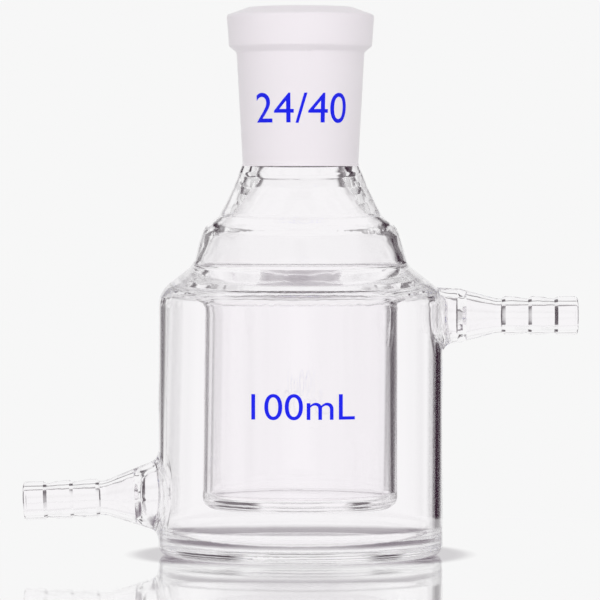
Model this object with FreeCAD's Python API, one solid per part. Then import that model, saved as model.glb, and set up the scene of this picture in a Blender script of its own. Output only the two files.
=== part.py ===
import FreeCAD
import Part
import math
import os

# Jacketed single-neck flask of fused borosilicate glass, 100 mL, with a 24/40 ground socket.
# Millimetres. The flask's axis is +Z, the base plane is z = 0, and the hose connections lie along X.

# Jacket: the outer wall, its flat base and its shoulder
JACKET_RADIUS = 37.5
JACKET_WALL = 1.9
BASE_THICKNESS = 3.1
BASE_ROUNDING = 2.6
JACKET_FLOOR_ROUNDING = 4.6
SHOULDER_DROP = 6.1
SHOULDER_ROUNDING = 8.0
CEILING_DROP = 5.5
CEILING_SLOPE_DROP = 0.6
CEILING_ROUNDING = 5.0

# Inner vessel: a flat-bottomed cylinder that flares at its top to the ring seal
VESSEL_BORE_RADIUS = 23.7
VESSEL_WALL = 1.9
VESSEL_FLOOR = 3.0
VESSEL_FLOOR_ROUNDING = 1.4
VESSEL_UNDERSIDE_ROUNDING = 3.0
VESSEL_DEPTH = 59.9
UNDER_VESSEL_GAP = 9.2
VESSEL_FLARE_HEIGHT = 9.4
VESSEL_FLARE_ROUNDING = 12.0
RING_SEAL_WIDTH = 3.0
RING_SEAL_HEIGHT = 3.5
RING_SEAL_ROUNDING = 2.6

# Dome: rises from the ring seal and turns in to the cone
DOME_OVERHANG = 3.1
DOME_FOOT_WALL = 1.6
DOME_FOOT_RISE = 1.0
DOME_FOOT_ROUNDING = 4.0
DOME_HEIGHT = 14.0
DOME_TURN_DROP = 3.0
DOME_TURN_INSET = 2.9
DOME_ROUNDING = 6.0
DOME_WALL = 1.9

# Cone: runs from the dome up to the neck
CONE_FOOT_RADIUS = 21.4
CONE_HEIGHT = 7.5
CONE_WALL = 1.9
CONE_ROUNDING = 3.0

# Neck: the throat between the cone and the ground zone
THROAT_RADIUS = 12.0
THROAT_STEP = 1.4
THROAT_STRAIGHT = 2.4
NECK_HEIGHT = 6.1
NECK_WALL = 5.7

# Ground socket: a 1 in 10 taper, 24 mm wide at its large end and 40 mm long
GROUND_DIAMETER = 24.0
GROUND_LENGTH = 40.0
GROUND_TAPER = 0.1
MOUTH_FLARE = 1.5
MOUTH_DEPTH = 1.2
MOUTH_ROUNDING = 0.5
SOCKET_WALL_FOOT = 5.2
SOCKET_WALL_TOP = 4.8
COLLAR_HEIGHT = 8.2
COLLAR_STEP = 2.0
COLLAR_STEP_HEIGHT = 1.6
COLLAR_FLARE = 0.6
COLLAR_EDGE_DROP = 2.1
COLLAR_ROUNDING = 0.9

# Hose connections: three barbs on a tube that flares into the jacket wall
CONNECTION_REACH = 73.0
CONNECTION_BORE_RADIUS = 3.1
BARB_COUNT = 3
BARB_PITCH = 6.9
BARB_HEIGHT = 0.6
BARB_LAND = 1.6
BARB_STEEP = 0.9
TIP_LENGTH = 6.3
TIP_ROUNDING = 0.9
TUBE_WALL = 1.45
TRUMPET_NECK = 1.6
TRUMPET_NECK_ROUNDING = 8.0
SEAL_STANDOFF = 4.7
ROOT_OVERLAP = 6.0
TRUMPET_WALL = 2.4
SEAL_LIP_PROUD = 1.2
SEAL_LIP_WIDTH = 2.2
SEAL_ROUNDING = 3.0
ROOT_FILLET = 3.0
INLET_FILLET = 2.0

LOWER_AXIS_HEIGHT = 15.5
LOWER_SEAL_RADIUS = 7.9
LOWER_ROOT_SLOPE = 0.36
LOWER_DROOP_DEG = 2.5
UPPER_AXIS_BELOW_SEAL = 12.3
UPPER_SEAL_RADIUS = 7.1
UPPER_ROOT_SLOPE = 0.06

# A rounding takes at most this share of the shorter straight beside it
ROUNDING_SHARE = 0.48

# An edge lies on a skin if the points at these shares of its length are this near to it
PROBE_SHARES = (0.2, 0.5, 0.8)
TOUCHING = 1e-5

# Heights that follow from the sizes above
VESSEL_UNDERSIDE_Z = BASE_THICKNESS + UNDER_VESSEL_GAP
VESSEL_FLOOR_Z = VESSEL_UNDERSIDE_Z + VESSEL_FLOOR
CREASE_Z = VESSEL_FLOOR_Z + VESSEL_DEPTH
SHOULDER_Z = CREASE_Z - SHOULDER_DROP
CEILING_Z = CREASE_Z - CEILING_DROP
CONE_FOOT_Z = CREASE_Z + DOME_HEIGHT
NECK_Z = CONE_FOOT_Z + CONE_HEIGHT
GROUND_FOOT_Z = NECK_Z + NECK_HEIGHT
GROUND_TOP_Z = GROUND_FOOT_Z + GROUND_LENGTH
RIM_Z = GROUND_TOP_Z + MOUTH_DEPTH
UPPER_AXIS_HEIGHT = CREASE_Z - UPPER_AXIS_BELOW_SEAL

# Radii that follow
JACKET_BORE_RADIUS = JACKET_RADIUS - JACKET_WALL
VESSEL_RADIUS = VESSEL_BORE_RADIUS + VESSEL_WALL
CREASE_RADIUS = VESSEL_BORE_RADIUS + DOME_OVERHANG
DOME_FOOT_RADIUS = CREASE_RADIUS + DOME_FOOT_WALL
DOME_TURN_RADIUS = DOME_FOOT_RADIUS - DOME_TURN_INSET
GROUND_TOP_RADIUS = GROUND_DIAMETER / 2
GROUND_FOOT_RADIUS = GROUND_TOP_RADIUS - GROUND_LENGTH * GROUND_TAPER / 2
NECK_RADIUS = THROAT_RADIUS + NECK_WALL
SOCKET_FOOT_RADIUS = GROUND_FOOT_RADIUS + SOCKET_WALL_FOOT
COLLAR_FOOT_Z = RIM_Z - COLLAR_HEIGHT - COLLAR_EDGE_DROP
SOCKET_TOP_RADIUS = GROUND_TOP_RADIUS + SOCKET_WALL_TOP
COLLAR_RADIUS = SOCKET_TOP_RADIUS + COLLAR_STEP
TROUGH_RADIUS = CONNECTION_BORE_RADIUS + TUBE_WALL
BARB_RADIUS = TROUGH_RADIUS + BARB_HEIGHT
BARBS_START = CONNECTION_REACH - TIP_LENGTH - (BARB_COUNT - 1) * BARB_PITCH
TRUMPET_END = BARBS_START - TRUMPET_NECK
SEAL_REACH = JACKET_RADIUS + SEAL_STANDOFF


def point(radius, height):
    """A point of a section in the XZ plane."""
    return FreeCAD.Vector(radius, 0, height)


def outline(corners):
    """A closed section through corners (radius, height, rounding), each rounding an arc tangent to both sides."""
    ring = [point(radius, height) for radius, height, rounding in corners]
    edges = []
    starts = []
    ends = []
    arcs = []
    for i, corner in enumerate(corners):
        here = ring[i]
        back = ring[i - 1] - here
        ahead = ring[(i + 1) % len(ring)] - here
        half_angle = back.getAngle(ahead) / 2
        reach = corner[2] / math.tan(half_angle)
        reach = min(reach, ROUNDING_SHARE * back.Length, ROUNDING_SHARE * ahead.Length)
        back.normalize()
        ahead.normalize()
        starts.append(here + back * reach)
        ends.append(here + ahead * reach)
        if reach > 0:
            radius = reach * math.tan(half_angle)
            inward = (back + ahead).normalize()
            middle = here + inward * (radius / math.sin(half_angle) - radius)
            arcs.append(Part.Arc(starts[i], middle, ends[i]).toShape())
        else:
            arcs.append(None)
    for i, arc in enumerate(arcs):
        if arc:
            edges.append(arc)
        edges.append(Part.LineSegment(ends[i], starts[(i + 1) % len(ring)]).toShape())
    return Part.Wire(edges)


def turned(corners):
    """The solid that a section makes when it is turned once about Z."""
    return Part.Face(outline(corners)).revolve(FreeCAD.Vector(), FreeCAD.Vector(0, 0, 1), 360)


def body_section():
    """The blown body without its jacket space, from the base up the outside and down the inside."""
    outside = [
        (0, 0, 0),
        (JACKET_RADIUS, 0, BASE_ROUNDING),
        (JACKET_RADIUS, SHOULDER_Z, SHOULDER_ROUNDING),
        (DOME_FOOT_RADIUS, CREASE_Z + DOME_FOOT_RISE, DOME_FOOT_ROUNDING),
        (DOME_TURN_RADIUS, CONE_FOOT_Z - DOME_TURN_DROP, DOME_ROUNDING),
        (CONE_FOOT_RADIUS, CONE_FOOT_Z, CONE_ROUNDING),
        (NECK_RADIUS, NECK_Z, CONE_ROUNDING),
        (SOCKET_FOOT_RADIUS, GROUND_FOOT_Z, CONE_ROUNDING),
        (SOCKET_TOP_RADIUS, COLLAR_FOOT_Z - COLLAR_STEP_HEIGHT, COLLAR_ROUNDING),
        (COLLAR_RADIUS, COLLAR_FOOT_Z, COLLAR_ROUNDING),
        (COLLAR_RADIUS + COLLAR_FLARE, RIM_Z - COLLAR_EDGE_DROP, COLLAR_ROUNDING),
        (GROUND_TOP_RADIUS + MOUTH_FLARE, RIM_Z, MOUTH_ROUNDING),
    ]
    inside = [
        (GROUND_TOP_RADIUS, GROUND_TOP_Z, 0),
        (GROUND_FOOT_RADIUS, GROUND_FOOT_Z, 0),
        (THROAT_RADIUS, GROUND_FOOT_Z - THROAT_STEP, 0),
        (THROAT_RADIUS, GROUND_FOOT_Z - THROAT_STEP - THROAT_STRAIGHT, CONE_ROUNDING),
        (CONE_FOOT_RADIUS - CONE_WALL, CONE_FOOT_Z - DOME_WALL / 2, CONE_ROUNDING),
        (DOME_TURN_RADIUS - DOME_WALL, CONE_FOOT_Z - DOME_TURN_DROP - DOME_WALL, DOME_ROUNDING - DOME_WALL),
        (CREASE_RADIUS, CREASE_Z, 0),
        (VESSEL_BORE_RADIUS, CREASE_Z - VESSEL_FLARE_HEIGHT, VESSEL_FLARE_ROUNDING),
        (VESSEL_BORE_RADIUS, VESSEL_FLOOR_Z, VESSEL_FLOOR_ROUNDING),
        (0, VESSEL_FLOOR_Z, 0),
    ]
    return outside + inside


def jacket_space_section():
    """The closed space between the jacket and the inner vessel."""
    return [
        (0, BASE_THICKNESS, 0),
        (JACKET_BORE_RADIUS, BASE_THICKNESS, JACKET_FLOOR_ROUNDING),
        (JACKET_BORE_RADIUS, CEILING_Z - CEILING_SLOPE_DROP, CEILING_ROUNDING),
        (VESSEL_RADIUS + RING_SEAL_WIDTH, CEILING_Z, RING_SEAL_ROUNDING),
        (VESSEL_RADIUS, CEILING_Z - RING_SEAL_HEIGHT, RING_SEAL_ROUNDING),
        (VESSEL_RADIUS, VESSEL_UNDERSIDE_Z, VESSEL_UNDERSIDE_ROUNDING),
        (0, VESSEL_UNDERSIDE_Z, 0),
    ]


def barb_corners():
    """The barbs outwards: each climbs steeply to its land and tapers to the next, and the last runs to the tip."""
    corners = []
    for i in range(BARB_COUNT):
        trough = BARBS_START + i * BARB_PITCH
        land = trough + BARB_STEEP
        corners.append((TROUGH_RADIUS, trough, 0))
        corners.append((BARB_RADIUS, land, 0))
        corners.append((BARB_RADIUS, land + BARB_LAND, 0))
    corners[-1] = (BARB_RADIUS, CONNECTION_REACH, TIP_ROUNDING)
    return corners


def connection_section(seal_radius, root_slope):
    """The outside of a hose connection, against the distance along its axis from the flask's axis."""
    root = JACKET_RADIUS - ROOT_OVERLAP
    return [
        (0, root, 0),
        (seal_radius + root_slope * (SEAL_REACH - root), root, 0),
        (seal_radius, SEAL_REACH, SEAL_ROUNDING),
        (TROUGH_RADIUS, TRUMPET_END, TRUMPET_NECK_ROUNDING),
        *barb_corners(),
        (0, CONNECTION_REACH, 0),
    ]


def passage_section(seal_radius, root_slope):
    """The bore of a hose connection, which widens inside the trumpet and has a low lip at the seal."""
    wide = seal_radius - TRUMPET_WALL
    lip = wide - SEAL_LIP_PROUD
    root = JACKET_BORE_RADIUS - ROOT_OVERLAP / 2
    return [
        (0, root, 0),
        (wide + root_slope * (SEAL_REACH - root), root, 0),
        (wide, SEAL_REACH - SEAL_LIP_WIDTH / 2, 0),
        (lip, SEAL_REACH, 0),
        (wide, SEAL_REACH + SEAL_LIP_WIDTH / 2, 0),
        (CONNECTION_BORE_RADIUS, TRUMPET_END, TRUMPET_NECK_ROUNDING),
        (CONNECTION_BORE_RADIUS, CONNECTION_REACH + BARB_PITCH, 0),
        (0, CONNECTION_REACH + BARB_PITCH, 0),
    ]


def lower_placement():
    """Carries a connection's own axis to the one low on the left, which droops a little."""
    droop = FreeCAD.Rotation(FreeCAD.Vector(0, 1, 0), -90 - LOWER_DROOP_DEG)
    rise = JACKET_RADIUS * math.tan(math.radians(LOWER_DROOP_DEG))
    return FreeCAD.Placement(point(0, LOWER_AXIS_HEIGHT + rise), droop)


def upper_placement():
    """Carries a connection's own axis to the level one high on the right."""
    level = FreeCAD.Rotation(FreeCAD.Vector(0, 1, 0), 90)
    return FreeCAD.Placement(point(0, UPPER_AXIS_HEIGHT), level)


def placed(corners, placement):
    """A turned solid moved to its place."""
    solid = turned(corners)
    solid.Placement = placement
    return solid


def shared_edges(joined, first, second):
    """The edges of a fused solid that lie on the skins of both solids that made it."""
    skins = [Part.Compound(first.Faces), Part.Compound(second.Faces)]
    found = []
    for edge in joined.Edges:
        span = edge.LastParameter - edge.FirstParameter
        probes = [Part.Vertex(edge.valueAt(edge.FirstParameter + span * share)) for share in PROBE_SHARES]
        if all(probe.distToShape(skin)[0] < TOUCHING for probe in probes for skin in skins):
            found.append(edge)
    return found


def blended(first, second, radius):
    """Two solids fused, with the line where they meet filleted."""
    joined = first.fuse(second)
    return joined.makeFillet(radius, shared_edges(joined, first, second))


def flask():
    """The whole flask as one solid."""
    connections = [
        (LOWER_SEAL_RADIUS, LOWER_ROOT_SLOPE, lower_placement()),
        (UPPER_SEAL_RADIUS, UPPER_ROOT_SLOPE, upper_placement()),
    ]
    glass = turned(body_section())
    space = turned(jacket_space_section())
    for seal_radius, root_slope, placement in connections:
        connection = placed(connection_section(seal_radius, root_slope), placement)
        passage = placed(passage_section(seal_radius, root_slope), placement)
        glass = blended(glass, connection, ROOT_FILLET)
        space = blended(space, passage, INLET_FILLET)
    return glass.cut(space)


os.makedirs("parts", exist_ok=True)
flask().exportStep("parts/jacketed_flask.step")
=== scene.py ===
import logging
import math
from dataclasses import dataclass, field
from enum import Enum

import bmesh
import bpy
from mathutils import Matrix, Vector
from mathutils.bvhtree import BVHTree


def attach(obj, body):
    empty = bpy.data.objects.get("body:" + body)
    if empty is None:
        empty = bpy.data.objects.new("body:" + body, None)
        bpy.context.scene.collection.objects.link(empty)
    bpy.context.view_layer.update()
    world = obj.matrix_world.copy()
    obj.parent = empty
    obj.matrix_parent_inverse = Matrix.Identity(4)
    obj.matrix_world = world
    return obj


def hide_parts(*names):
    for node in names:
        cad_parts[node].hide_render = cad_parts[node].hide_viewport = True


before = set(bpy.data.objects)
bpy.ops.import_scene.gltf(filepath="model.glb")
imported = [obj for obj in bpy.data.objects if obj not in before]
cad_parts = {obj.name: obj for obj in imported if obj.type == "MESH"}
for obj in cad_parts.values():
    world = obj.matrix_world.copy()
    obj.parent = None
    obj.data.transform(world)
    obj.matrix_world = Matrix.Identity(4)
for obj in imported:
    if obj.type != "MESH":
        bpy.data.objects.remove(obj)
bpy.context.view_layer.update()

LOG = logging.getLogger("jacketed_flask")
MM = 0.001
BODY = "root"
GLASS_NODE = "jacketed_flask"
GLASS_IOR = 1.473
QUARTER = 90.0
FULL_TURN = 360.0
ONE_BOUNCE = 0.5
TWO_BOUNCES = 1.5


class Skin(Enum):
    """How a face of the glass was finished, as the number of its material."""

    POLISHED = 0
    GROUND = 1
    SATIN = 2


def linear(code: str) -> tuple[float, float, float, float]:
    """Turns an sRGB hex colour into Blender's linear one, with the sRGB standard's own curve.

    Args:
        code: the colour as #rrggbb.

    Returns:
        Linear red, green and blue, and an alpha of 1.
    """
    levels = [int(code[i : i + 2], 16) / 255 for i in (1, 3, 5)]
    return (
        *(level / 12.92 if level <= 0.04045 else ((level + 0.055) / 1.055) ** 2.4 for level in levels),
        1.0,
    )


def add_node(
    tree: bpy.types.NodeTree, kind: str, settings: dict | None = None, links: dict | None = None
) -> bpy.types.Node:
    """Adds one shader node.

    Args:
        tree: the node tree that takes it.
        kind: the node's type name.
        settings: values for its properties, or for its inputs by name or number.
        links: the output socket that feeds each input, by the input's name or number.

    Returns:
        The new node.
    """
    node = tree.nodes.new(kind)
    for key, value in (settings or {}).items():
        if isinstance(key, str) and hasattr(node, key):
            setattr(node, key, value)
        else:
            node.inputs[key].default_value = value
    for key, socket in (links or {}).items():
        tree.links.new(socket, node.inputs[key])
    return node


def set_stops(ramp: bpy.types.ColorRamp, stops: tuple, start: float, span: float) -> None:
    """Gives a colour ramp soft grey stops.

    Args:
        ramp: the ramp.
        stops: an angle or a distance, and the grey there, for each stop in order.
        start: the angle or distance at the ramp's start.
        span: how much the ramp covers.
    """
    ramp.interpolation = "EASE"
    ramp.elements.remove(ramp.elements[0])
    for number, (place, grey) in enumerate(stops):
        stop = ramp.elements.new((place - start) / span) if number else ramp.elements[0]
        stop.position = (place - start) / span
        stop.color = (grey, grey, grey, 1.0)


def new_material(name: str) -> tuple[bpy.types.Material, bpy.types.NodeTree]:
    """Makes an empty node material.

    Args:
        name: the finish's plain name.

    Returns:
        The material and its cleared node tree.
    """
    material = bpy.data.materials.new(name)
    material.use_nodes = True
    material.node_tree.nodes.clear()
    return material, material.node_tree


def add_piece(
    name: str, bm: bmesh.types.BMesh, materials: list[bpy.types.Material]
) -> bpy.types.Object:
    """Makes an object of a finished mesh, with its place in the mesh.

    Args:
        name: the object's name.
        bm: the mesh, which is freed.
        materials: its materials, in the order of its faces' numbers.

    Returns:
        The object, in the scene.
    """
    mesh = bpy.data.meshes.new(name)
    bm.to_mesh(mesh)
    bm.free()
    for material in materials:
        mesh.materials.append(material)
    piece = bpy.data.objects.new(name, mesh)
    bpy.context.scene.collection.objects.link(piece)
    return piece


@dataclass(frozen=True)
class ClearBorosilicate:
    """Borosilicate glass, drawn and flame polished: colourless, with soft waves left by the flame."""

    # To the eye it is clear and sharp: bright inside, with dark lines where it turns away or bends
    # the image of a card.
    name: str = "flame_polished_borosilicate"
    colour: str = "#fffeff"
    wave_mm: float = 20.0
    wave_height_mm: float = 0.008
    wave_stretch: tuple = (1.0, 1.0, 0.5)

    def material(self) -> bpy.types.Material:
        """Makes the material.

        Returns:
            Clear glass whose faint waves bend the lines seen through it.
        """
        made, tree = new_material(self.name)
        place = add_node(tree, "ShaderNodeTexCoord")
        stretch = add_node(
            tree, "ShaderNodeMapping", {"Scale": self.wave_stretch}, {"Vector": place.outputs["Object"]}
        )
        waves = add_node(
            tree,
            "ShaderNodeTexNoise",
            {"Scale": 1 / (self.wave_mm * MM), "Detail": 1.0, "Roughness": 0.4},
            {"Vector": stretch.outputs["Vector"]},
        )
        bump = add_node(
            tree,
            "ShaderNodeBump",
            {"Strength": 1.0, "Distance": self.wave_height_mm * MM},
            {"Height": waves.outputs["Fac"]},
        )
        glass = add_node(
            tree,
            "ShaderNodeBsdfPrincipled",
            {
                "Base Color": linear(self.colour),
                "Roughness": 0.0,
                "IOR": GLASS_IOR,
                "Transmission Weight": 1.0,
            },
            {"Normal": bump.outputs["Normal"]},
        )
        add_node(tree, "ShaderNodeOutputMaterial", links={"Surface": glass.outputs["BSDF"]})
        return made


@dataclass(frozen=True)
class GroundBorosilicate:
    """Borosilicate glass ground with grit, so it scatters light and looks white and matt."""

    # To the eye it is milky and even, lit like paper. The real grit's marks are too fine to show,
    # so they are drawn as coarse as they need to be.
    name: str = "ground_borosilicate"
    colour: str = "#fffcfe"
    roughness: float = 0.55
    clearness: float = 0.2
    grit_mm: float = 0.25
    grit_height_mm: float = 0.02
    grit_strength: float = 0.4

    def material(self) -> bpy.types.Material:
        """Makes the material.

        Returns:
            Matt white glass with a fine grain.
        """
        made, tree = new_material(self.name)
        place = add_node(tree, "ShaderNodeTexCoord")
        grit = add_node(
            tree,
            "ShaderNodeTexNoise",
            {"Scale": 1 / (self.grit_mm * MM), "Detail": 2.0},
            {"Vector": place.outputs["Object"]},
        )
        bump = add_node(
            tree,
            "ShaderNodeBump",
            {"Strength": self.grit_strength, "Distance": self.grit_height_mm * MM},
            {"Height": grit.outputs["Fac"]},
        )
        glass = add_node(
            tree,
            "ShaderNodeBsdfPrincipled",
            {
                "Base Color": linear(self.colour),
                "Roughness": self.roughness,
                "IOR": GLASS_IOR,
                "Transmission Weight": self.clearness,
            },
            {"Normal": bump.outputs["Normal"]},
        )
        add_node(tree, "ShaderNodeOutputMaterial", links={"Surface": glass.outputs["BSDF"]})
        return made


@dataclass(frozen=True)
class FiredEnamel:
    """Blue glass enamel, screen printed and fired on: opaque, smooth and a little glossy."""

    # To the eye it is a deep, flat blue. The film's clouds are drawn coarser than the real ones, so
    # that they show.
    name: str = "fired_blue_enamel"
    colour: str = "#1017e6"
    thin_colour: str = "#1c26ee"
    cloud_mm: float = 0.7
    roughness: float = 0.45
    specular: float = 0.15

    def material(self) -> bpy.types.Material:
        """Makes the material.

        Returns:
            Opaque blue enamel, a shade lighter where the film is thin.
        """
        made, tree = new_material(self.name)
        place = add_node(tree, "ShaderNodeTexCoord")
        cloud = add_node(
            tree,
            "ShaderNodeTexNoise",
            {"Scale": 1 / (self.cloud_mm * MM), "Detail": 2.0},
            {"Vector": place.outputs["Object"]},
        )
        shade = add_node(
            tree,
            "ShaderNodeMixRGB",
            {"Color1": linear(self.colour), "Color2": linear(self.thin_colour)},
            {"Fac": cloud.outputs["Fac"]},
        )
        enamel = add_node(
            tree,
            "ShaderNodeBsdfPrincipled",
            {"Roughness": self.roughness, "Specular IOR Level": self.specular},
            {"Base Color": shade.outputs["Color"]},
        )
        add_node(tree, "ShaderNodeOutputMaterial", links={"Surface": enamel.outputs["BSDF"]})
        return made


@dataclass
class GlassFlask:
    """The fused glass body: a smooth copy of the solid, satin at the socket and ground in its bore."""

    clear: ClearBorosilicate = field(default_factory=ClearBorosilicate)
    ground: GroundBorosilicate = field(default_factory=GroundBorosilicate)
    satin: GroundBorosilicate = field(
        default_factory=lambda: GroundBorosilicate(
            "satin_borosilicate", colour="#fbf5fa", roughness=0.32, clearness=0.14, grit_height_mm=0.008
        )
    )
    ground_foot_mm: float = 102.8
    satin_foot_mm: float = 102.2
    ground_top_mm: float = 142.8
    ground_radius_mm: float = 12.1
    merge_mm: float = 0.002
    crease_deg: float = 32.0
    normal_weight: int = 90

    def build(self) -> bpy.types.Object:
        """Makes the glass piece and puts it in the solid's place.

        Returns:
            The glass object.
        """
        bm = bmesh.new()
        bm.from_mesh(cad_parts[GLASS_NODE].data)
        bmesh.ops.remove_doubles(bm, verts=bm.verts, dist=self.merge_mm * MM)
        crease = math.radians(self.crease_deg)
        for face in bm.faces:
            face.smooth = True
            face.material_index = self.skin(face.calc_center_median() / MM).value
        for edge in bm.edges:
            edge.smooth = len(edge.link_faces) == 2 and edge.calc_face_angle() < crease
        finishes = [self.clear.material(), self.ground.material(), self.satin.material()]
        glass = add_piece("glass_body", bm, finishes)
        even = glass.modifiers.new("even_normals", "WEIGHTED_NORMAL")
        even.weight = self.normal_weight
        even.keep_sharp = True
        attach(glass, BODY)
        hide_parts(GLASS_NODE)
        return glass

    def skin(self, centre: Vector) -> Skin:
        """Tells how a face was finished from where it lies.

        Args:
            centre: the middle of the face, in millimetres.

        Returns:
            Ground in the taper, satin on the rest of the socket, and polished elsewhere.
        """
        in_bore = math.hypot(centre.x, centre.y) < self.ground_radius_mm
        if in_bore and self.ground_foot_mm < centre.z < self.ground_top_mm:
            return Skin.GROUND
        return Skin.SATIN if centre.z > self.satin_foot_mm else Skin.POLISHED


@dataclass
class SizeMark:
    """A size in blue enamel, fired on the front of the glass and wrapped round it."""

    name: str
    text: str
    side_mm: float
    centre_mm: float
    width_mm: float
    height_mm: float
    start_mm: float = 60.0
    film_mm: float = 0.05
    bite_mm: float = 0.02
    strip_mm: float = 0.8
    merge_gap: float = 0.0001
    crease_deg: float = 40.0

    def letters(self) -> bmesh.types.BMesh:
        """Makes the mark flat, as a thin film cut into upright strips that can bend.

        Returns:
            The film in millimetres, centred, with its back at zero height.
        """
        curve = bpy.data.curves.new(self.name, "FONT")
        curve.body = self.text
        flat = bpy.data.objects.new(self.name, curve)
        outline = bpy.data.meshes.new_from_object(flat)
        bm = bmesh.new()
        bm.from_mesh(outline)
        bpy.data.objects.remove(flat)
        bpy.data.curves.remove(curve)
        bpy.data.meshes.remove(outline)
        bmesh.ops.remove_doubles(bm, verts=bm.verts, dist=self.merge_gap)
        low = Vector(min(v.co[i] for v in bm.verts) for i in range(3))
        high = Vector(max(v.co[i] for v in bm.verts) for i in range(3))
        size = high - low
        bmesh.ops.translate(bm, verts=bm.verts, vec=-(low + high) / 2)
        stretch = (self.width_mm / size.x, self.height_mm / size.y, 1.0)
        bmesh.ops.scale(bm, verts=bm.verts, vec=stretch)
        cuts = int(self.width_mm / self.strip_mm)
        for i in range(1, cuts):
            bmesh.ops.bisect_plane(
                bm,
                geom=bm.verts[:] + bm.edges[:] + bm.faces[:],
                plane_co=(self.width_mm * (i / cuts - 0.5), 0.0, 0.0),
                plane_no=(1.0, 0.0, 0.0),
            )
        front = bmesh.ops.extrude_face_region(bm, geom=bm.faces[:])
        raised = [v for v in front["geom"] if isinstance(v, bmesh.types.BMVert)]
        bmesh.ops.translate(bm, verts=raised, vec=(0.0, 0.0, self.film_mm))
        bmesh.ops.recalc_face_normals(bm, faces=bm.faces)
        return bm

    def build(self, glass: bpy.types.Object, enamel: FiredEnamel) -> bpy.types.Object:
        """Wraps the film on the glass, its back just in the surface.

        Args:
            glass: the flask, which carries it.
            enamel: the finish.

        Returns:
            The mark.
        """
        bm = self.letters()
        places = [vert.co / MM for vert in glass.data.vertices]
        tree = BVHTree.FromPolygons(places, [tuple(face.vertices) for face in glass.data.polygons])
        middle = self.surface(tree, 0.0, self.centre_mm)
        for vert in bm.verts:
            turn = (self.side_mm + vert.co.x) / middle
            height = self.centre_mm + vert.co.y
            radius = self.surface(tree, turn, height) + vert.co.z - self.bite_mm
            vert.co = Vector((radius * math.sin(turn), -radius * math.cos(turn), height)) * MM
        crease = math.radians(self.crease_deg)
        for face in bm.faces:
            face.smooth = True
        for edge in bm.edges:
            edge.smooth = len(edge.link_faces) == 2 and edge.calc_face_angle() < crease
        mark = add_piece(self.name, bm, [enamel.material()])
        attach(mark, BODY)
        return mark

    def surface(self, tree: BVHTree, turn: float, height: float) -> float:
        """Finds how far the glass stands from the flask's axis.

        Args:
            tree: the glass, in millimetres.
            turn: the angle round the axis from the front, in radians.
            height: the height above the base, in millimetres.

        Returns:
            The radius of the outer surface there, in millimetres.
        """
        outwards = Vector((math.sin(turn), -math.cos(turn), 0.0))
        start = outwards * self.start_mm + Vector((0.0, 0.0, height))
        return self.start_mm - tree.ray_cast(start, -outwards)[3]


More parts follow.
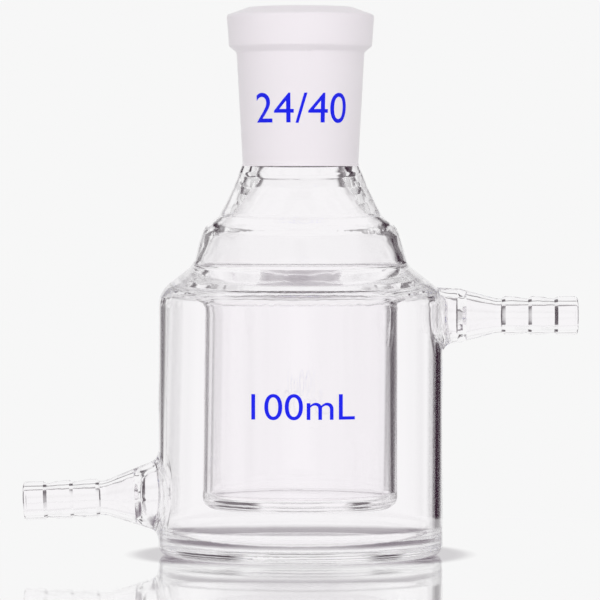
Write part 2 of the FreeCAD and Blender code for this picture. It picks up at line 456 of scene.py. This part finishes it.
@dataclass
class Studio:
    """The pale floor with its painted shadow, the white surround with its dark cards, the soft lamp and the
    camera.

    The cards stand where a glass photographer puts them. Only rays that the glass has bent or
    mirrored meet them, so they draw the glass's edges and the background stays even. The tuples of
    stops hold angles in degrees or distances in millimetres, each with how dark it is there.
    """

    pale: str = "#f7f7f7"
    card: str = "#362432"
    # shade is the colour of the shadow painted into the floor's glow, round the flask's foot and in front
    # of it.
    shade: str = "#7d737d"
    card_edges: tuple = ((14.0, 20.0, 44.0, 51.0), (56.0, 61.0, 67.0, 73.0))
    card_depths: tuple = ((1.0, 0.3), (0.3, 0.15), (0.15, 0.3), (0.2, 1.0))
    reach: tuple = ((-42.0, 0.0), (-28.0, 1.0), (22.0, 1.0), (32.0, 0.0))
    shelf: tuple = ((20.0, 0.0), (23.0, 0.8), (31.0, 0.8), (34.0, 0.0))
    shelf_turn: tuple = (
        *((8.0, 1.0), (12.0, 0.2), (22.0, 0.2), (27.0, 1.0)),
        *((333.0, 1.0), (338.0, 0.2), (348.0, 0.2), (352.0, 1.0)),
    )
    floor_radius_mm: float = 200.0
    floor_centre_mm: float = -65.0
    floor_sides: int = 96
    floor_gloss: float = 0.035
    floor_ior: float = 1.49
    # The shade_ stops place that painted shadow: a ring round the foot, weaker behind and in front, and a
    # strip in front of the flask, narrowing sideways.
    shade_ring: tuple = ((30.0, 0.0), (35.0, 1.0), (41.0, 1.0), (47.0, 0.0))
    shade_depth: tuple = ((-40.0, 0.5), (-26.0, 1.0), (26.0, 1.0), (36.0, 0.75))
    shade_side: tuple = ((4.0, 0.6), (27.0, 0.0))
    shade_run: tuple = ((-190.0, 0.0), (-105.0, 0.7), (-76.0, 1.0), (-60.0, 1.0), (-44.0, 0.0))
    fade_ahead: tuple = ((-240.0, 0.0), (-140.0, 1.0))
    fade_beside: tuple = ((110.0, 1.0), (185.0, 0.0))
    shade_reach_mm: float = 260.0
    bounces: int = 256
    softbox_mm: float = 500.0
    softbox_watt: float = 4.6
    fill: float = 0.65
    softbox_place_mm: tuple = (0.0, -1050.0, 450.0)
    softbox_aim_mm: float = 110.0
    camera_distance_mm: float = 1138.0
    camera_height_mm: float = 96.5
    aim_height_mm: float = 67.0
    aim_side_mm: float = -0.13
    view_width_mm: float = 157.9
    sensor_mm: float = 36.0
    clip_end_m: float = 10.0

    def light_surround(self) -> None:
        """Sets the world: even and pale to the camera, with soft dark cards for what the glass bends.

        Matt surfaces get less of its light, so that the lamp in front shapes the socket.
        """
        world = bpy.data.worlds.new("white_studio")
        bpy.context.scene.world = world
        world.use_nodes = True
        tree = world.node_tree
        tree.nodes.clear()
        ray = add_node(tree, "ShaderNodeTexCoord")
        split = add_node(tree, "ShaderNodeSeparateXYZ", links={0: ray.outputs["Generated"]})
        azimuth = add_node(
            tree,
            "ShaderNodeMath",
            {"operation": "ARCTAN2"},
            {0: split.outputs["X"], 1: split.outputs["Y"]},
        )
        turns = add_node(
            tree, "ShaderNodeMath", {"operation": "DIVIDE", 1: math.tau}, {0: azimuth.outputs[0]}
        )
        phase = add_node(tree, "ShaderNodeMath", {"operation": "FRACT"}, {0: turns.outputs[0]})
        rise = add_node(tree, "ShaderNodeMath", {"operation": "ARCSINE"}, {0: split.outputs["Z"]})
        height = add_node(
            tree,
            "ShaderNodeMath",
            {"operation": "MULTIPLY_ADD", 1: 1 / math.pi, 2: 0.5},
            {0: rise.outputs[0]},
        )
        masks = []
        for factor, stops, start, span in (
            (phase, self.card_stops(), 0.0, FULL_TURN),
            (height, self.reach, -QUARTER, 2 * QUARTER),
            (height, self.shelf, -QUARTER, 2 * QUARTER),
            (phase, self.shelf_turn, 0.0, FULL_TURN),
        ):
            mask = add_node(tree, "ShaderNodeValToRGB", links={"Fac": factor.outputs[0]})
            set_stops(mask.color_ramp, stops, start, span)
            masks.append(mask.outputs["Color"])
        card, reach, shelf, shelf_turn = masks
        upright = add_node(tree, "ShaderNodeMath", {"operation": "MULTIPLY"}, {0: card, 1: reach})
        level = add_node(tree, "ShaderNodeMath", {"operation": "MULTIPLY"}, {0: shelf, 1: shelf_turn})
        cards = add_node(
            tree, "ShaderNodeMath", {"operation": "MAXIMUM"}, {0: upright.outputs[0], 1: level.outputs[0]}
        )
        path = add_node(tree, "ShaderNodeLightPath")
        seen = self.bent_by_glass(tree, path)
        dark = add_node(tree, "ShaderNodeMath", {"operation": "MULTIPLY"}, {0: cards.outputs[0], 1: seen})
        dim = add_node(
            tree,
            "ShaderNodeMath",
            {"operation": "MULTIPLY_ADD", 1: self.fill - 1.0, 2: 1.0},
            {0: path.outputs["Is Diffuse Ray"]},
        )
        colour = add_node(
            tree,
            "ShaderNodeMixRGB",
            {"Color1": linear(self.pale), "Color2": linear(self.card)},
            {"Fac": dark.outputs[0]},
        )
        glow = add_node(
            tree,
            "ShaderNodeBackground",
            links={"Color": colour.outputs["Color"], "Strength": dim.outputs[0]},
        )
        add_node(tree, "ShaderNodeOutputWorld", links={"Surface": glow.outputs[0]})

    def card_stops(self) -> tuple:
        """Lists the upright cards round the flask: the same two in each quarter, deepest straight ahead.

        Returns:
            The azimuth and the depth of each stop, in order.
        """
        return tuple(
            (quarter * QUARTER + edge, depth if inner else 0.0)
            for quarter, depths in enumerate(self.card_depths)
            for edges, depth in zip(self.card_edges, depths)
            for edge, inner in zip(edges, (False, True, True, False))
        )

    def bent_by_glass(self, tree: bpy.types.NodeTree, path: bpy.types.Node) -> bpy.types.NodeSocket:
        """Tells rays that met polished glass from those that came straight or only off the floor.

        Args:
            tree: the world's node tree.
            path: its light path node.

        Returns:
            A socket that is 1 for rays that the glass bent or mirrored, also by way of the floor.
        """
        mirrored = add_node(
            tree,
            "ShaderNodeMath",
            {"operation": "GREATER_THAN", 1: ONE_BOUNCE},
            {0: path.outputs["Glossy Depth"]},
        )
        depth = add_node(
            tree,
            "ShaderNodeMath",
            {"operation": "ADD"},
            {0: path.outputs["Glossy Depth"], 1: path.outputs["Transmission Depth"]},
        )
        twice = add_node(
            tree, "ShaderNodeMath", {"operation": "GREATER_THAN", 1: TWO_BOUNCES}, {0: depth.outputs[0]}
        )
        by_floor = add_node(
            tree, "ShaderNodeMath", {"operation": "MINIMUM"}, {0: mirrored.outputs[0], 1: twice.outputs[0]}
        )
        either = add_node(
            tree,
            "ShaderNodeMath",
            {"operation": "MAXIMUM"},
            {0: by_floor.outputs[0], 1: path.outputs["Is Singular Ray"]},
        )
        return either.outputs[0]

    def lay_floor(self) -> None:
        """Lays the glossy white floor, as pale as the surround so that no edge shows.

        A shadow is painted into its glow round the flask's foot and in front of it, greyer there, and its
        mirror fades towards its rim.
        """
        bm = bmesh.new()
        bmesh.ops.create_circle(
            bm, cap_ends=True, segments=self.floor_sides, radius=self.floor_radius_mm * MM
        )
        bmesh.ops.translate(bm, verts=bm.verts, vec=(0.0, self.floor_centre_mm * MM, 0.0))
        made, tree = new_material("glossy_white_acrylic_painted_shadow")
        place = add_node(tree, "ShaderNodeTexCoord")
        split = add_node(tree, "ShaderNodeSeparateXYZ", links={0: place.outputs["Object"]})
        away = add_node(tree, "ShaderNodeVectorMath", {"operation": "LENGTH"}, {0: place.outputs["Object"]})
        beside = add_node(tree, "ShaderNodeMath", {"operation": "ABSOLUTE"}, {0: split.outputs["X"]})
        masks = []
        for measure, stops in (
            (away.outputs["Value"], self.shade_ring),
            (split.outputs["Y"], self.shade_depth),
            (beside.outputs[0], self.shade_side),
            (split.outputs["Y"], self.shade_run),
            (split.outputs["Y"], self.fade_ahead),
            (beside.outputs[0], self.fade_beside),
        ):
            part = add_node(
                tree,
                "ShaderNodeMath",
                {"operation": "MULTIPLY_ADD", 1: 0.5 / (self.shade_reach_mm * MM), 2: 0.5},
                {0: measure},
            )
            mask = add_node(tree, "ShaderNodeValToRGB", links={"Fac": part.outputs[0]})
            set_stops(mask.color_ramp, stops, -self.shade_reach_mm, 2 * self.shade_reach_mm)
            masks.append(mask.outputs["Color"])
        ring, depth, side, run, fade_ahead, fade_beside = masks
        # Painted shadow: a ring round the flask's foot and a strip in front of it, mixed into the floor's
        # glow as a darker grey.
        painted_foot_shadow = add_node(tree, "ShaderNodeMath", {"operation": "MULTIPLY"}, {0: ring, 1: depth})
        painted_front_shadow = add_node(tree, "ShaderNodeMath", {"operation": "MULTIPLY"}, {0: side, 1: run})
        dark = add_node(
            tree, "ShaderNodeMath", {"operation": "MAXIMUM"}, {0: painted_foot_shadow.outputs[0], 1: painted_front_shadow.outputs[0]}
        )
        colour = add_node(
            tree,
            "ShaderNodeMixRGB",
            {"Color1": linear(self.pale), "Color2": linear(self.shade)},
            {"Fac": dark.outputs[0]},
        )
        glow = add_node(tree, "ShaderNodeEmission", links={"Color": colour.outputs["Color"]})
        shine = add_node(
            tree, "ShaderNodeBsdfGlossy", {"Color": (1.0, 1.0, 1.0, 1.0), "Roughness": self.floor_gloss}
        )
        fresnel = add_node(tree, "ShaderNodeFresnel", {"IOR": self.floor_ior})
        fade = add_node(tree, "ShaderNodeMath", {"operation": "MULTIPLY"}, {0: fade_ahead, 1: fade_beside})
        gloss = add_node(
            tree, "ShaderNodeMath", {"operation": "MULTIPLY"}, {0: fresnel.outputs[0], 1: fade.outputs[0]}
        )
        both = add_node(
            tree,
            "ShaderNodeMixShader",
            links={0: gloss.outputs[0], 1: glow.outputs[0], 2: shine.outputs[0]},
        )
        add_node(tree, "ShaderNodeOutputMaterial", links={"Surface": both.outputs[0]})
        add_piece("studio_floor", bm, [made])

    def set_camera(self) -> None:
        """Puts the camera where the photograph was taken from, level with the socket and a long way off."""
        data = bpy.data.cameras.new("studio_camera")
        camera = bpy.data.objects.new("studio_camera", data)
        bpy.context.scene.collection.objects.link(camera)
        bpy.context.scene.camera = camera
        place = Vector((self.aim_side_mm, -self.camera_distance_mm, self.camera_height_mm)) * MM
        aim = Vector((self.aim_side_mm, 0.0, self.aim_height_mm)) * MM
        camera.location = place
        camera.rotation_euler = (aim - place).to_track_quat("-Z", "Y").to_euler()
        data.sensor_width = self.sensor_mm
        data.lens = self.sensor_mm * self.camera_distance_mm / self.view_width_mm
        data.clip_end = self.clip_end_m

    def hang_softbox(self) -> None:
        """Hangs a soft lamp above the camera, which only the matt glass and the enamel answer to."""
        data = bpy.data.lights.new("softbox", "AREA")
        data.size = self.softbox_mm * MM
        data.energy = self.softbox_watt
        lamp = bpy.data.objects.new("softbox", data)
        bpy.context.scene.collection.objects.link(lamp)
        lamp.location = Vector(self.softbox_place_mm) * MM
        aim = Vector((0.0, 0.0, self.softbox_aim_mm)) * MM
        lamp.rotation_euler = (aim - lamp.location).to_track_quat("-Z", "Y").to_euler()
        lamp.visible_camera = False
        lamp.visible_glossy = False
        lamp.visible_transmission = False

    def build(self) -> None:
        """Makes the surround, the floor, the lamp and the camera."""
        scene = bpy.context.scene
        scene.view_settings.view_transform = "Standard"
        scene.cycles.max_bounces = self.bounces
        scene.cycles.transmission_bounces = self.bounces
        scene.cycles.glossy_bounces = self.bounces
        scene.cycles.caustics_reflective = True
        scene.cycles.caustics_refractive = True
        self.light_surround()
        self.lay_floor()
        self.hang_softbox()
        self.set_camera()


def main() -> None:
    """Builds the flask, its marks and the studio."""
    logging.basicConfig(level=logging.INFO, format="%(name)s: %(message)s")
    glass = GlassFlask().build()
    enamel = FiredEnamel()
    joint = SizeMark(
        "joint_size_mark", "24/40", side_mm=0.25, centre_mm=117.3, width_mm=26.0, height_mm=7.83
    )
    volume = SizeMark(
        "volume_mark", "100mL", side_mm=0.7, centre_mm=40.65, width_mm=27.0, height_mm=6.68
    )
    pieces = [glass, joint.build(glass, enamel), volume.build(glass, enamel)]
    for piece in pieces:
        LOG.info("%s has %d faces", piece.name, len(piece.data.polygons))
    Studio().build()


if __name__ == "__main__":
    main()
